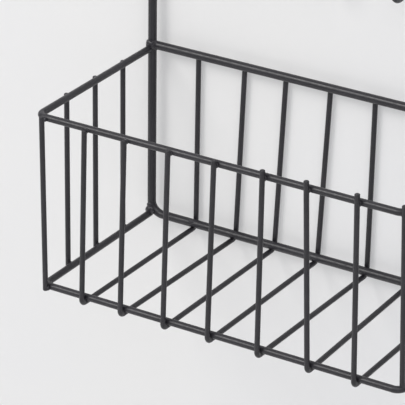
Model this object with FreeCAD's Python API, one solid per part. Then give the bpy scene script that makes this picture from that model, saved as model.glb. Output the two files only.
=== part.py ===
import FreeCAD, Part
import math
import os

# Wall rack of welded rod and wire: an upright frame with a basket at its foot and a rail of
# hanging S-hooks above it. Millimetres. +Z is up, +Y points into the wall, and the wall is the
# plane y = 0. The origin is midway between the two screw holes, on the wall.

os.makedirs("parts", exist_ok=True)

# --- driving dimensions -----------------------------------------------------------------------
FRAME_ROD = 5.0            # diameter of the frame, the rear top rail and the hook rail
RIM_ROD = 4.0              # diameter of the basket's two rims
WIRE = 3.0                 # diameter of the basket's wires
HOOK_WIRE = 3.5            # diameter of the S-hooks
WELD_BITE = 0.15           # how far one rod sinks into another where they are welded

FRAME_WIDTH = 226.0        # between the uprights' centres
FRAME_HEIGHT = 243.0       # from the rear bottom rail's centre to the top bar's centre
FRAME_BEND = 7.5           # centreline radius of the frame's corners
BASKET_HEIGHT = 106.7      # from the rear bottom rail to the rear top rail
BASKET_DEPTH_TOP = 115.8   # from the frame's plane to the front of the top rim
BASKET_DEPTH_BOTTOM = 111.6
TOP_RIM_DROP = 1.7         # the top rim sits this much lower than the rear top rail
RIM_BEND = 5.0             # centreline radius of the rims' corners

BAYS = 8                   # spaces between wires across the basket
SIDE_FIRST = 26.0          # from the frame's plane to the first side wire
SIDE_PITCH = 28.5
SIDE_NUBS = (-0.2, 0.3, 0.2)   # how far each side wire stands above the top rim's centre

HOOK_RAIL_HEIGHT = 223.5   # above the rear bottom rail
HOOK_RAIL_OVERHANG = 1.5   # past the uprights' outer sides
HOOKS = 5
HOOK_PITCH = 47.5
HOOK_TOP_LOOP = 5.5        # centreline radius of the loop that hangs on the rail
HOOK_BOTTOM_LOOP = 8.0     # centreline radius of the loop that carries the tool
HOOK_LOOP_GAP = 43.5       # between the two loops' centres
HOOK_TOP_TIP = -35.0       # degrees round the top loop at which the wire ends
HOOK_BOTTOM_TIP = -222.0   # degrees round the bottom loop at which the wire ends
HOOK_PLAY = 0.2            # air between the hook and the rail's top

TAB_THICK = 3.5
TAB_WIDTH = 14.0
TAB_SPACING = 150.0        # between the two screw holes
TAB_FOOT = 5.0             # how far a tab reaches below the top bar's centre
SCREW_HOLE = 5.2
SCREW_RISE = 9.0           # screw hole above the top bar's centre
END_ROUND = 0.5            # rounding of the cut ends

# Each bent wire stands a little out of true, as welded wirework does. A row gives how far a wire
# is off its even place across the basket, at its front top, front foot, rear foot and rear top,
# and how far its front end stands above the top rim's centre.
WIRE_OFFSETS = (
    (4.2, -1.0, 0.0, 0.6, 0.3),
    (1.4, -3.9, -1.1, 3.1, 0.8),
    (0.7, -4.3, -3.3, 1.8, 1.8),
    (0.9, -4.1, -3.0, 2.2, 3.2),
    (2.2, -1.1, 1.0, 2.2, 5.0),
    (0.4, 1.7, -0.7, 1.0, 5.6),
    (2.0, 1.8, 1.1, 1.5, 5.9),
)

# A corner wire stands at the front bend of both rims: degrees round the bend from the side, at its
# top and at its foot, how far it stands above the top rim's centre, and how far it reaches below
# the bottom rim's. The left one lies against the outside of both rims. The right one's foot is
# butted on top of the bottom rim.
CORNER_WIRES = {
    "left": {"top": 88.0, "foot": 74.0, "nub": 1.6, "below": 1.6, "butted": False},
    "right": {"top": 51.0, "foot": 30.0, "nub": 5.4, "below": 0.0, "butted": True},
}

# --- places that follow from them -------------------------------------------------------------
FRAME_R, RIM_R, WIRE_R, HOOK_R = FRAME_ROD / 2, RIM_ROD / 2, WIRE / 2, HOOK_WIRE / 2
BOTTOM_Z = -(FRAME_HEIGHT + SCREW_RISE)
TOP_BAR_Z = BOTTOM_Z + FRAME_HEIGHT
REAR_TOP_Z = BOTTOM_Z + BASKET_HEIGHT
TOP_RIM_Z = REAR_TOP_Z - TOP_RIM_DROP
BOTTOM_RIM_Z = BOTTOM_Z
HOOK_RAIL_Z = BOTTOM_Z + HOOK_RAIL_HEIGHT
FRAME_Y = -(TAB_THICK - WELD_BITE + FRAME_R)
HOOK_RAIL_Y = FRAME_Y - 2 * FRAME_R + WELD_BITE
TOP_FRONT_Y = FRAME_Y - BASKET_DEPTH_TOP
BOTTOM_FRONT_Y = FRAME_Y - BASKET_DEPTH_BOTTOM
SIDE_X = FRAME_WIDTH / 2
WIRE_ON_RIM = RIM_R + WIRE_R - WELD_BITE       # centre to centre where a wire lies on a rim
WIRE_ON_FRAME = FRAME_R + WIRE_R - WELD_BITE   # and on the frame
PITCH = FRAME_WIDTH / BAYS


def vec(x, y, z):
    return FreeCAD.Vector(x, y, z)


def disc(centre, direction, radius):
    return Part.Face(Part.Wire(Part.makeCircle(radius, centre, direction)))


def bent_rod(points, bends, radius):
    """A round rod along straight runs, with a tangent arc at each inner point."""
    pieces = []
    start = points[0]
    for corner, after, bend in zip(points[1:-1], points[2:], bends):
        before = (corner - start).normalize()
        onward = (after - corner).normalize()
        turn = before.getAngle(onward)
        set_back = bend * math.tan(turn / 2)
        arc_start = corner - before * set_back
        arc_end = corner + onward * set_back
        pieces.append(Part.makeCylinder(radius, (arc_start - start).Length, start, before))
        axis = before.cross(onward).normalize()
        centre = arc_start + axis.cross(before) * bend
        pieces.append(disc(arc_start, before, radius).revolve(centre, axis, math.degrees(turn)))
        start = arc_end
    last = points[-1] - start
    pieces.append(Part.makeCylinder(radius, last.Length, start, last))
    return joined(pieces)


def joined(pieces):
    solid = pieces[0].fuse(pieces[1:]) if len(pieces) > 1 else pieces[0]
    return solid.Solids[0]


def round_ends(rod, ends, radius):
    """Rounds the circular edges of a rod's cut ends, found by where their centres are."""
    edges = []
    for edge in rod.Edges:
        if isinstance(edge.Curve, Part.Circle) and edge.Closed:
            if any((edge.Curve.Center - end).Length < 0.01 for end in ends):
                if abs(edge.Curve.Radius - radius) < 0.01:
                    edges.append(edge)
    return rod.makeFillet(END_ROUND, edges).Solids[0]


def welded(rod, *others):
    """The rod with the metal of the rods that it is welded to taken away."""
    for other in others:
        rod = rod.cut(other)
    return max(rod.Solids, key=lambda solid: solid.Volume)


def frame_hoop():
    low, high = BOTTOM_Z, TOP_BAR_Z
    middle = (low + high) / 2
    corners = [vec(-SIDE_X, FRAME_Y, low), vec(SIDE_X, FRAME_Y, low),
               vec(SIDE_X, FRAME_Y, high), vec(-SIDE_X, FRAME_Y, high)]
    start = vec(-SIDE_X, FRAME_Y, middle)
    path = [start] + corners + [start]
    return bent_rod(path, [FRAME_BEND] * 4, FRAME_R)


def cross_rod(y, z, half_length):
    return Part.makeCylinder(FRAME_R, 2 * half_length, vec(-half_length, y, z), vec(1, 0, 0))


def rim(front_y, z, rods):
    """A rod bent into a U: left side, front and right side, its ends butted on the frame."""
    rear_y = FRAME_Y - FRAME_R / 2
    path = [vec(-SIDE_X, rear_y, z), vec(-SIDE_X, front_y, z),
            vec(SIDE_X, front_y, z), vec(SIDE_X, rear_y, z)]
    return welded(bent_rod(path, [RIM_BEND] * 2, RIM_R), *rods)


def basket_wire(number, offsets, rods):
    """One wire bent into a U: down the front, under the floor and up the back."""
    front_top, front_foot, rear_foot, rear_top, nub = offsets
    even_x = -SIDE_X + PITCH * number
    lean = (TOP_FRONT_Y - BOTTOM_FRONT_Y) / (TOP_RIM_Z - BOTTOM_RIM_Z)
    sideways = (front_top - front_foot) / (TOP_RIM_Z - BOTTOM_RIM_Z)
    front_end = vec(even_x + front_top + sideways * nub,
                    TOP_FRONT_Y - WIRE_ON_RIM + lean * nub, TOP_RIM_Z + nub)
    front_corner = vec(even_x + front_foot, BOTTOM_FRONT_Y - WIRE_ON_RIM,
                       BOTTOM_RIM_Z - WIRE_ON_RIM)
    rear_corner = vec(even_x + rear_foot, FRAME_Y + WIRE_ON_FRAME, BOTTOM_Z - WIRE_ON_FRAME)
    rear_end = vec(even_x + rear_top, FRAME_Y + WIRE_ON_FRAME, REAR_TOP_Z)
    wire = bent_rod([front_end, front_corner, rear_corner, rear_end],
                    [WIRE_ON_RIM, WIRE_ON_FRAME], WIRE_R)
    return welded(round_ends(wire, (front_end, rear_end), WIRE_R), *rods)


def corner_wire(sign, place, rods):
    """A straight wire at the front bend of both rims, leaning from one place to the other."""
    def beside_bend(front_y, z, degrees, reach):
        turn = math.radians(degrees)
        return vec(sign * (SIDE_X - RIM_BEND + reach * math.cos(turn)),
                   front_y + RIM_BEND - reach * math.sin(turn), z)

    outside = RIM_BEND + WIRE_ON_RIM
    foot_reach = RIM_BEND if place["butted"] else outside
    top = beside_bend(TOP_FRONT_Y, TOP_RIM_Z, place["top"], outside)
    foot = beside_bend(BOTTOM_FRONT_Y, BOTTOM_RIM_Z, place["foot"], foot_reach)
    along = (top - foot).normalize()
    high = top + along * place["nub"]
    low = foot - along * place["below"]
    wire = Part.makeCylinder(WIRE_R, (high - low).Length, low, along)
    return welded(round_ends(wire, (high, low), WIRE_R), *rods)


def side_wire(sign, y, nub, rods):
    x = sign * (SIDE_X + WIRE_ON_RIM)
    low = vec(x, y, BOTTOM_RIM_Z - WIRE_R)
    high = vec(x, y, TOP_RIM_Z + nub)
    wire = Part.makeCylinder(WIRE_R, (high - low).Length, low, high - low)
    return welded(round_ends(wire, (low, high), WIRE_R), *rods)


def s_hook(x):
    """A wire bent into an S in the plane across the rail, hanging with its weight plumb."""
    reach = math.degrees(math.asin((HOOK_TOP_LOOP + HOOK_BOTTOM_LOOP) / HOOK_LOOP_GAP))
    pivot = vec(x, HOOK_RAIL_Y, hook_pivot_z())
    low_centre = pivot - vec(0, 0, HOOK_LOOP_GAP)

    def on_loop(centre, radius, degrees):
        turn = math.radians(degrees)
        return centre + vec(0, math.cos(turn), math.sin(turn)) * radius

    def along(degrees):
        turn = math.radians(degrees)
        return vec(0, -math.sin(turn), math.cos(turn))

    across = vec(1, 0, 0)
    top_tip = on_loop(pivot, HOOK_TOP_LOOP, HOOK_TOP_TIP)
    top_leave = on_loop(pivot, HOOK_TOP_LOOP, 180 + reach)
    low_join = on_loop(low_centre, HOOK_BOTTOM_LOOP, reach)
    low_tip = on_loop(low_centre, HOOK_BOTTOM_LOOP, HOOK_BOTTOM_TIP)
    top_loop = disc(top_tip, along(HOOK_TOP_TIP), HOOK_R).revolve(
        pivot, across, 180 + reach - HOOK_TOP_TIP)
    shank = Part.makeCylinder(HOOK_R, (low_join - top_leave).Length, top_leave,
                              low_join - top_leave)
    low_loop = disc(low_join, along(reach), HOOK_R).revolve(
        low_centre, across, HOOK_BOTTOM_TIP - reach)
    hook = round_ends(joined([top_loop, shank, low_loop]), (top_tip, low_tip), HOOK_R)
    weight = hook.CenterOfMass - pivot
    hook.rotate(pivot, across, math.degrees(math.atan2(-weight.y, -weight.z)))
    return hook


def hook_pivot_z():
    """Height of the top loop's centre, with the loop hanging on the rail's top."""
    return HOOK_RAIL_Z + FRAME_R + HOOK_PLAY - (HOOK_TOP_LOOP - HOOK_R)


def mount_tab(x, frame):
    """A plate behind the top bar: round head about its screw hole, square foot."""
    half = TAB_WIDTH / 2
    foot_z = TOP_BAR_Z - TAB_FOOT
    face = vec(0, TAB_THICK, 0)
    head = Part.makeCylinder(half, TAB_THICK, vec(x, -TAB_THICK, 0), vec(0, 1, 0))
    body = Part.makeBox(TAB_WIDTH, TAB_THICK, -foot_z, vec(x - half, -TAB_THICK, foot_z))
    hole = Part.makeCylinder(SCREW_HOLE / 2, 3 * TAB_THICK, vec(x, -2 * TAB_THICK, 0), face)
    return welded(joined([head, body]).removeSplitter(), hole, frame)


def export(name, shape):
    shape.exportStep("parts/" + name + ".step")


frame = frame_hoop()
export("frame_hoop", frame)
rear_top_rail = welded(cross_rod(FRAME_Y, REAR_TOP_Z, SIDE_X), frame)
export("rear_top_rail", rear_top_rail)
rail_half = SIDE_X + FRAME_R + HOOK_RAIL_OVERHANG
rail_ends = (vec(-rail_half, HOOK_RAIL_Y, HOOK_RAIL_Z), vec(rail_half, HOOK_RAIL_Y, HOOK_RAIL_Z))
hook_rail = round_ends(cross_rod(HOOK_RAIL_Y, HOOK_RAIL_Z, rail_half), rail_ends, FRAME_R)
export("hook_rail", welded(hook_rail, frame))

top_rim = rim(TOP_FRONT_Y, TOP_RIM_Z, (frame, rear_top_rail))
bottom_rim = rim(BOTTOM_FRONT_Y, BOTTOM_RIM_Z, (frame,))
export("top_rim", top_rim)
export("bottom_rim", bottom_rim)

for number, offsets in enumerate(WIRE_OFFSETS, start=1):
    rods = (frame, rear_top_rail, top_rim, bottom_rim)
    export("basket_wire_%d" % number, basket_wire(number, offsets, rods))

for side, sign in (("left", -1), ("right", 1)):
    rims = (top_rim, bottom_rim)
    export("corner_wire_" + side, corner_wire(sign, CORNER_WIRES[side], rims))
    for number, nub in enumerate(SIDE_NUBS):
        y = FRAME_Y - SIDE_FIRST - SIDE_PITCH * number
        export("side_wire_%s_%d" % (side, number + 1), side_wire(sign, y, nub, rims))
    export("mount_tab_" + side, mount_tab(sign * TAB_SPACING / 2, frame))

for number in range(1, HOOKS + 1):
    export("s_hook_%d" % number, s_hook(HOOK_PITCH * (number - (HOOKS + 1) / 2)))
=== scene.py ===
import bmesh
import bpy
import math
import random
from mathutils import Matrix, Vector, noise


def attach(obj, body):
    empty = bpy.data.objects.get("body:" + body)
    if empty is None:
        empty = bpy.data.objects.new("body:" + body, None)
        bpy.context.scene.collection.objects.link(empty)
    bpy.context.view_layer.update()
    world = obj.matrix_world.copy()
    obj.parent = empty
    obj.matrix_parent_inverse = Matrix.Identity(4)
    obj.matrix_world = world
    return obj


# A welded wire basket rack on a wall, finished in satin charcoal powder coat. The CAD rods stay as
# they are; this script adds the weld metal where the rods meet, the paint, the stage and the view.

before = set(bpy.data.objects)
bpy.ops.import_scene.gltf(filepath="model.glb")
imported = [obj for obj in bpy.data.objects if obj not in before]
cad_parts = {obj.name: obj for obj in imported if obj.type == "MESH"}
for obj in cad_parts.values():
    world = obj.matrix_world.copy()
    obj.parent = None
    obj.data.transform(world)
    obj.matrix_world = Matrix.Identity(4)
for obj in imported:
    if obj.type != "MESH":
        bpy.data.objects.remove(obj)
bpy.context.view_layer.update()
random.seed(11)

# --- the rack's own places, in metres ----------------------------------------------------------
MM = 0.001
FRAME_R, RIM_R = 2.5 * MM, 2.0 * MM    # half the rods' thickness
SIDE_X = 113.0 * MM                 # the uprights' centres
FRAME_Y = -5.85 * MM
BOTTOM_Z, REAR_TOP_Z, TOP_BAR_Z = -252.0 * MM, -145.3 * MM, -9.0 * MM
TOP_RIM_Z = REAR_TOP_Z - 1.7 * MM
TOP_FRONT_Y = FRAME_Y - 115.8 * MM
BOTTOM_FRONT_Y = FRAME_Y - 111.6 * MM
HOOK_RAIL_Z, HOOK_RAIL_Y = -28.5 * MM, -10.7 * MM
SIDE_WIRES_Y = [FRAME_Y - (26.0 + 28.5 * n) * MM for n in range(3)]
TABS_X = (-75.0 * MM, 75.0 * MM)
TAB_HALF_WIDTH = 7.0 * MM
TAB_FRONT_Y = -3.5 * MM
HOOK_PIVOT = Vector((0.0, HOOK_RAIL_Y, -29.55 * MM))
HOOK_LOW_LOOP = Vector((0.0, -11.32 * MM, -73.05 * MM))
WORN_TOP, WORN_LOW = 4.5 * MM, 7.0 * MM    # how far from a loop's centre the paint is rubbed
WELD_GRAIN = 0.28 * MM              # the size of the finest detail in weld metal
WELD_BUMPS = 0.14                   # how lumpy weld metal is, as a part of its radius

# --- the view: angles in degrees, places in metres ---------------------------------------------
VIEW_AZIMUTH, VIEW_ELEVATION, VIEW_ROLL = 31.3, 25.6, 0.73
VIEW_AIM = Vector((-0.0781, FRAME_Y, -0.2370))
VIEW_DISTANCE = 1.7123
LENS_MM, SENSOR_MM = 261.9, 36.0
FLOOR_Z = -0.75
STAGE_HALF = 7.0
WALL_TOP = 3.0
WALL_Y = 0.0005
WALL_GLOW = 0.27          # light the wall gives off, which keeps the shadows on it faint


def link(obj):
    bpy.context.scene.collection.objects.link(obj)
    return obj


def make_camera():
    data = bpy.data.cameras.new("camera")
    data.lens, data.sensor_width = LENS_MM, SENSOR_MM
    data.clip_start, data.clip_end = 0.05, 30.0
    camera = link(bpy.data.objects.new("camera", data))
    a, e = math.radians(VIEW_AZIMUTH), math.radians(VIEW_ELEVATION)
    back = Vector((math.sin(a) * math.cos(e), -math.cos(a) * math.cos(e), math.sin(e)))
    look = (-back).to_track_quat("-Z", "Y").to_matrix()
    roll = Matrix.Rotation(math.radians(VIEW_ROLL), 3, "Z")
    place = Matrix.Translation(VIEW_AIM + back * VIEW_DISTANCE)
    camera.matrix_world = place @ (look @ roll).to_4x4()
    bpy.context.scene.camera = camera


# --- materials ---------------------------------------------------------------------------------
class Nodes:
    """A short way to add and wire shader nodes."""

    def __init__(self, material):
        material.use_nodes = True
        self.tree = material.node_tree
        self.shader = self.tree.nodes["Principled BSDF"]
        self.output = self.tree.nodes["Material Output"]

    def add(self, kind, **settings):
        node = self.tree.nodes.new(kind)
        for name, value in settings.items():
            setattr(node, name, value)
        return node

    def wire(self, start, end):
        self.tree.links.new(start, end)

    def noise(self, where, scale, detail, roughness=0.5):
        node = self.add("ShaderNodeTexNoise")
        node.inputs["Scale"].default_value = scale
        node.inputs["Detail"].default_value = detail
        node.inputs["Roughness"].default_value = roughness
        self.wire(where, node.inputs["Vector"])
        return node.outputs["Fac"]

    def ramp(self, value, stops):
        node = self.add("ShaderNodeValToRGB")
        elements = node.color_ramp.elements
        for element, (place, colour) in zip(elements, stops[:2]):
            element.position, element.color = place, (*colour, 1.0)
        for place, colour in stops[2:]:
            elements.new(place).color = (*colour, 1.0)
        self.wire(value, node.inputs["Fac"])
        return node.outputs["Color"]

    def remap(self, value, low, high, to_low, to_high):
        node = self.add("ShaderNodeMapRange")
        for name, number in (("From Min", low), ("From Max", high),
                             ("To Min", to_low), ("To Max", to_high)):
            node.inputs[name].default_value = number
        self.wire(value, node.inputs["Value"])
        return node.outputs["Result"]

    def bump(self, value, strength, distance, under=None):
        node = self.add("ShaderNodeBump")
        node.inputs["Strength"].default_value = strength
        node.inputs["Distance"].default_value = distance
        self.wire(value, node.inputs["Height"])
        if under:
            self.wire(under, node.inputs["Normal"])
        return node.outputs["Normal"]


def scaled(colour, factor):
    return tuple(channel * factor for channel in colour)


CHARCOAL = (0.0146, 0.0134, 0.0168)


def powder_coat(name, colour=CHARCOAL, gloss=0.40, speckle=1.0, worn_about=None):
    """Satin powder coat: fine orange peel, slow drifts of shade and gloss, and dust-sized specks.
    Where worn_about is given, the paint is rubbed on the insides of those loops."""
    material = bpy.data.materials.new(name)
    n = Nodes(material)
    where = n.add("ShaderNodeTexCoord").outputs["Object"]
    drift = n.noise(where, 34.0, 3.0)
    peel = n.noise(where, 1500.0, 2.0)
    ripple = n.noise(where, 420.0, 2.0, 0.6)
    specks = n.noise(where, 2600.0, 1.0)
    shade = n.ramp(drift, [(0.30, scaled(colour, 0.80)), (0.72, scaled(colour, 1.28))])
    light_speck = n.remap(specks, 0.66, 0.80, 0.0, 0.30 * speckle)
    speckled = n.add("ShaderNodeMix", data_type="RGBA")
    n.wire(light_speck, speckled.inputs["Factor"])
    n.wire(shade, speckled.inputs["A"])
    speckled.inputs["B"].default_value = (*scaled(colour, 3.4), 1.0)
    paint = speckled.outputs["Result"]
    roughness = n.remap(ripple, 0.25, 0.75, gloss - 0.07, gloss + 0.08)
    if worn_about:
        paint, roughness = worn(n, where, paint, roughness, worn_about)
    n.wire(paint, n.shader.inputs["Base Color"])
    n.wire(roughness, n.shader.inputs["Roughness"])
    n.shader.inputs["Specular IOR Level"].default_value = 0.50
    fine = n.bump(peel, 0.22, 0.00008)
    n.wire(n.bump(ripple, 0.30, 0.00016, under=fine), n.shader.inputs["Normal"])
    return material


def worn(n, where, paint, roughness, loops):
    """Paint rubbed to a paler, smoother grey within a radius of each loop's centre line."""
    near_any = None
    split = n.add("ShaderNodeSeparateXYZ")
    n.wire(where, split.inputs["Vector"])
    for centre, radius in loops:
        flat = n.add("ShaderNodeCombineXYZ")
        n.wire(split.outputs["Y"], flat.inputs["Y"])
        n.wire(split.outputs["Z"], flat.inputs["Z"])
        reach = n.add("ShaderNodeVectorMath", operation="DISTANCE")
        n.wire(flat.outputs["Vector"], reach.inputs[0])
        reach.inputs[1].default_value = (0.0, centre.y, centre.z)
        near = n.remap(reach.outputs["Value"], radius, radius + 0.0008, 1.0, 0.0)
        if near_any is None:
            near_any = near
        else:
            most = n.add("ShaderNodeMath", operation="MAXIMUM")
            n.wire(near_any, most.inputs[0])
            n.wire(near, most.inputs[1])
            near_any = most.outputs["Value"]
    patchy = n.remap(n.noise(where, 380.0, 3.0, 0.65), 0.42, 0.60, 0.0, 0.85)
    rubbed = n.add("ShaderNodeMath", operation="MULTIPLY")
    n.wire(near_any, rubbed.inputs[0])
    n.wire(patchy, rubbed.inputs[1])
    bare = n.add("ShaderNodeMix", data_type="RGBA")
    n.wire(rubbed.outputs["Value"], bare.inputs["Factor"])
    n.wire(paint, bare.inputs["A"])
    bare.inputs["B"].default_value = (0.085, 0.083, 0.086, 1.0)
    smooth = n.add("ShaderNodeMix", data_type="FLOAT")
    n.wire(rubbed.outputs["Value"], smooth.inputs["Factor"])
    n.wire(roughness, smooth.inputs["A"])
    smooth.inputs["B"].default_value = 0.27
    return bare.outputs["Result"], smooth.outputs["Result"]


def wall_paint():
    """Matt grey that its own glow lifts to off-white, with a faint roller texture and slow tints.
    It is clear from behind, so that the rack can be seen from there."""
    material = bpy.data.materials.new("wall_paint")
    n = Nodes(material)
    where = n.add("ShaderNodeTexCoord").outputs["Object"]
    cool, warm = (0.48, 0.48, 0.489), (0.492, 0.487, 0.48)
    tint = n.ramp(n.noise(where, 3.0, 2.0), [(0.35, cool), (0.65, warm)])
    n.wire(tint, n.shader.inputs["Base Color"])
    n.shader.inputs["Roughness"].default_value = 0.85
    n.shader.inputs["Emission Color"].default_value = (0.985, 0.985, 1.0, 1.0)
    n.shader.inputs["Emission Strength"].default_value = WALL_GLOW
    n.wire(n.bump(n.noise(where, 260.0, 3.0), 0.10, 0.0004), n.shader.inputs["Normal"])
    from_behind = n.add("ShaderNodeNewGeometry").outputs["Backfacing"]
    clear = n.add("ShaderNodeBsdfTransparent")
    mix = n.add("ShaderNodeMixShader")
    n.wire(from_behind, mix.inputs["Fac"])
    n.wire(n.shader.outputs["BSDF"], mix.inputs[1])
    n.wire(clear.outputs["BSDF"], mix.inputs[2])
    n.wire(mix.outputs["Shader"], n.output.inputs["Surface"])
    return material


def floor_paint():
    """Matt pale floor with slow tints."""
    material = bpy.data.materials.new("floor_paint")
    n = Nodes(material)
    where = n.add("ShaderNodeTexCoord").outputs["Object"]
    cool, warm = (0.76, 0.76, 0.765), (0.79, 0.787, 0.78)
    tint = n.ramp(n.noise(where, 2.0, 2.0), [(0.3, cool), (0.7, warm)])
    n.wire(tint, n.shader.inputs["Base Color"])
    n.shader.inputs["Roughness"].default_value = 0.8
    return material


def paint_rack():
    """Each kind of rod has its own coat, and each hook has one that is worn in its loops."""
    coats = {
        "frame_hoop": powder_coat("coat_frame", gloss=0.40),
        "rear_top_rail": powder_coat("coat_rear_rail", scaled(CHARCOAL, 1.05), 0.38),
        "hook_rail": powder_coat("coat_hook_rail", gloss=0.36),
        "rim": powder_coat("coat_rims", scaled(CHARCOAL, 1.08), 0.39, 1.2),
        "wire": powder_coat("coat_wires", scaled(CHARCOAL, 0.96), 0.43, 1.2),
        "tab": powder_coat("coat_tabs", scaled(CHARCOAL, 1.04), 0.44),
    }
    for name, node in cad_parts.items():
        coat = coats.get(name)
        if name.startswith("s_hook"):
            loops = [(HOOK_PIVOT, WORN_TOP), (HOOK_LOW_LOOP, WORN_LOW)]
            coat = powder_coat("coat_" + name, scaled(CHARCOAL, 1.12), 0.36, 1.0, loops)
        elif coat is None:
            coat = next(coats[word] for word in ("rim", "wire", "tab") if word in name)
        for slot in node.material_slots:
            slot.material = coat


# --- weld metal --------------------------------------------------------------------------------
def lump(bm, centre, radii, seed):
    """One soft lump of weld metal: a ball stretched to its radii, with low bumps."""
    ball = bmesh.ops.create_icosphere(bm, subdivisions=3, radius=1.0)["verts"]
    for vert in ball:
        swell = 1.0 + WELD_BUMPS * noise.noise(vert.co * 2.1 + Vector((seed, seed * 0.37, 0.0)))
        vert.co = centre + Vector([c * r for c, r in zip(vert.co * swell, radii)])


def weld(name, lumps, coat):
    """Lumps fused into one skin. Each is a centre, its three radii, all in metres."""
    bm = bmesh.new()
    for number, (centre, radii) in enumerate(lumps):
        lump(bm, Vector(centre), radii, number * 1.7 + len(name))
    mesh = bpy.data.meshes.new(name)
    bm.to_mesh(mesh)
    bm.free()
    obj = link(bpy.data.objects.new(name, mesh))
    remesh = obj.modifiers.new("fused", "REMESH")
    remesh.mode, remesh.voxel_size, remesh.use_smooth_shade = "VOXEL", WELD_GRAIN, True
    soft = obj.modifiers.new("soft", "SMOOTH")
    soft.factor, soft.iterations = 0.5, 4
    graph = bpy.context.evaluated_depsgraph_get()
    done = bpy.data.meshes.new_from_object(obj.evaluated_get(graph))
    obj.modifiers.clear()
    obj.data = done
    bpy.data.meshes.remove(mesh)
    done.materials.clear()
    done.materials.append(coat)
    for polygon in done.polygons:
        polygon.use_smooth = True
    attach(obj, "rack")


def where_on(node, test):
    """The middle of those points of a CAD node, in the row frame, that pass a test."""
    points = [v.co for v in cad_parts[node].data.vertices if test(v.co)]
    low = [min(p[axis] for p in points) for axis in range(3)]
    high = [max(p[axis] for p in points) for axis in range(3)]
    return Vector((a + b) / 2 for a, b in zip(low, high))


def spot_welds(coat):
    """Small fillets of metal in the corners where a wire crosses a rod."""
    tops, feet, rears, backs = [], [], [], []
    along, across = 2.15 * MM, 1.75 * MM    # a spot's half length on its rod, and half height
    for number in range(1, 8):
        node = "basket_wire_%d" % number
        top = where_on(node, lambda p: p.z > TOP_RIM_Z - MM and p.y < -0.1)
        foot = where_on(node, lambda p: p.z < BOTTOM_Z + 3 * MM and p.y < BOTTOM_FRONT_Y)
        rear = where_on(node, lambda p: p.z < BOTTOM_Z + 3 * MM and p.y > FRAME_Y)
        back = where_on(node, lambda p: p.z > REAR_TOP_Z - 2 * MM and p.y > FRAME_Y)
        tops.append(((top.x, TOP_FRONT_Y - RIM_R, TOP_RIM_Z - 0.3 * MM), (along, 0.8 * MM, across)))
        feet.append(((foot.x, BOTTOM_FRONT_Y - 1.3 * MM, BOTTOM_Z - 1.1 * MM),
                     (1.75 * MM, 1.1 * MM, 1.1 * MM)))
        rears.append(((rear.x, FRAME_Y + 1.6 * MM, BOTTOM_Z - 1.9 * MM),
                      (along, 1.5 * MM, 1.3 * MM)))
        backs.append(((back.x, FRAME_Y + FRAME_R, REAR_TOP_Z - 0.6 * MM),
                      (along, 0.8 * MM, across)))
    first_x = rears[0][0][0]
    rears.append(((first_x, FRAME_Y - 1.7 * MM, BOTTOM_Z + 1.7 * MM),
                  (1.9 * MM, 1.0 * MM, 1.0 * MM)))
    for sign, side in ((-1, "left"), (1, "right")):
        for y in SIDE_WIRES_Y:
            x = sign * (SIDE_X + RIM_R)
            tops.append(((x, y, TOP_RIM_Z - 0.5 * MM), (0.8 * MM, along, 1.4 * MM)))
            feet.append(((x, y, BOTTOM_Z), (0.8 * MM, along, across)))
        corner = "corner_wire_" + side
        top = where_on(corner, lambda p: p.z > TOP_RIM_Z - MM)
        foot = where_on(corner, lambda p: p.z < BOTTOM_Z + 3 * MM and p.y < BOTTOM_FRONT_Y + 5 * MM)
        inward = Vector((-sign, 1.0, 0.0)).normalized()
        tops.append((Vector((top.x, top.y, TOP_RIM_Z)) + inward * 1.3 * MM,
                     (1.9 * MM, 1.7 * MM, 1.7 * MM)))
        feet.append((Vector((foot.x, foot.y, BOTTOM_Z - 0.4 * MM)) + inward * 1.2 * MM,
                     (1.7 * MM, 1.6 * MM, 1.6 * MM)))
    for name, lumps in (("welds_top_rim", tops), ("welds_bottom_rim", feet),
                        ("welds_rear_bottom", rears), ("welds_rear_top", backs)):
        weld(name, lumps, coat)


def corner_beads(coat):
    """Hand-laid beads where the rims and the rear top rail end on the uprights."""
    for sign, side in ((-1, "left"), (1, "right")):
        x = sign * SIDE_X
        inner = -sign * MM

        def at(dx, y, z):
            return (x + dx * inner, y * MM, z)

        top = TOP_RIM_Z + 2.6 * MM
        weld("bead_top_" + side, [
            (at(0.1, -6.7, top), (3.55 * MM, 3.45 * MM, 3.10 * MM)),
            (at(-0.9, -8.6, top - 1.0 * MM), (1.70 * MM, 1.50 * MM, 2.00 * MM)),
            (at(0.5, -9.3, top - 0.1 * MM), (2.60 * MM, 1.20 * MM, 2.50 * MM)),
            (at(0.0, -8.9, top - 2.9 * MM), (2.55 * MM, 1.30 * MM, 2.10 * MM)),
            (at(2.9, -6.2, top - 1.1 * MM), (1.80 * MM, 2.80 * MM, 2.85 * MM)),
        ], coat)
        low = BOTTOM_Z + 2.4 * MM
        weld("bead_bottom_" + side, [
            (at(0.4, -8.5, low), (3.00 * MM, 1.60 * MM, 2.60 * MM)),
            (at(-1.5, -7.8, low - 0.6 * MM), (1.55 * MM, 1.50 * MM, 1.90 * MM)),
            (at(1.5, -7.9, low - 0.9 * MM), (1.45 * MM, 1.40 * MM, 1.70 * MM)),
            (at(0.1, -8.2, low + 2.6 * MM), (2.00 * MM, 1.10 * MM, 2.20 * MM)),
        ], coat)
        weld("bead_hook_rail_" + side, [
            (at(0.0, -8.3, HOOK_RAIL_Z + 2.0 * MM), (2.5 * MM, 1.5 * MM, 1.1 * MM)),
            (at(0.2, -8.3, HOOK_RAIL_Z - 2.0 * MM), (2.4 * MM, 1.5 * MM, 1.1 * MM)),
            (at(2.0, -8.3, HOOK_RAIL_Z), (1.0 * MM, 1.2 * MM, 2.0 * MM)),
            (at(-2.0, -8.3, HOOK_RAIL_Z), (1.0 * MM, 1.2 * MM, 2.0 * MM)),
        ], coat)


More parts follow.
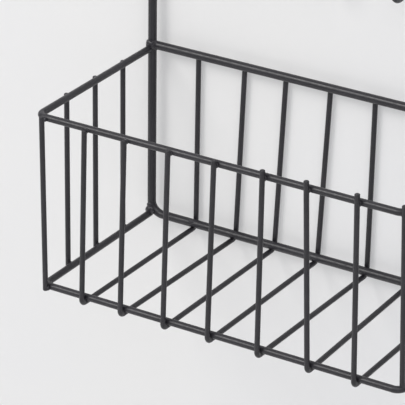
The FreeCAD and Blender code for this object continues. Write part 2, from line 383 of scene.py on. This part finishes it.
def tab_beads(coat):
    """Two runs of weld along each tab, above and below the top bar, each a row of ripples."""
    ripples = 9
    for number, x in enumerate(TABS_X):
        lumps = []
        for height in (2.25 * MM, -2.25 * MM):
            for step in range(ripples):
                place = x + TAB_HALF_WIDTH * 1.5 * (step / (ripples - 1) - 0.5)
                wander = random.uniform(-0.12, 0.12) * MM
                lumps.append(((place, TAB_FRONT_Y - 0.45 * MM + wander, TOP_BAR_Z + height),
                              (0.95 * MM, 0.85 * MM, 0.80 * MM)))
        weld("bead_tab_" + ("left", "right")[number], lumps, coat)


# --- stage and light ---------------------------------------------------------------------------
def stage_quad(name, corners, material):
    mesh = bpy.data.meshes.new(name)
    mesh.from_pydata(corners, [], [(0, 1, 2, 3)])
    mesh.materials.append(material)
    link(bpy.data.objects.new(name, mesh))


def make_stage():
    h = STAGE_HALF
    stage_quad("wall", [(-h, WALL_Y, FLOOR_Z), (h, WALL_Y, FLOOR_Z),
                        (h, WALL_Y, WALL_TOP), (-h, WALL_Y, WALL_TOP)], wall_paint())
    stage_quad("floor", [(-h, -h, FLOOR_Z), (h, -h, FLOOR_Z),
                         (h, h, FLOOR_Z), (-h, h, FLOOR_Z)], floor_paint())


def soft_light(name, place, size, power, colour):
    data = bpy.data.lights.new(name, "AREA")
    data.shape, data.size, data.energy, data.color = "DISK", size, power, colour
    lamp = link(bpy.data.objects.new(name, data))
    lamp.location = place
    lamp.rotation_mode = "QUATERNION"
    aim = Vector((0.0, 0.0, -0.15)) - Vector(place)
    lamp.rotation_quaternion = aim.to_track_quat("-Z", "Y")


def make_light():
    soft_light("key", (-1.3, -1.9, 1.7), 1.2, 34.0, (1.0, 0.99, 0.975))
    soft_light("wide", (-2.2, -2.6, 1.6), 3.0, 24.0, (1.0, 0.99, 0.98))
    soft_light("overhead", (0.9, -1.7, 2.4), 3.0, 44.0, (0.98, 0.985, 1.0))
    soft_light("fill", (1.9, -2.2, 0.9), 2.2, 10.0, (0.96, 0.975, 1.0))
    bpy.context.scene.view_settings.view_transform = "Standard"
    world = bpy.data.worlds.new("studio")
    bpy.context.scene.world = world
    world.use_nodes = True
    sky = world.node_tree.nodes["Background"]
    sky.inputs["Color"].default_value = (0.93, 0.96, 1.0, 1.0)
    sky.inputs["Strength"].default_value = 0.36


make_camera()
make_stage()
make_light()
paint_rack()
bead_coat = powder_coat("coat_welds", scaled(CHARCOAL, 1.25), 0.30, 1.0)
spot_welds(bead_coat)
corner_beads(bead_coat)
tab_beads(bead_coat)
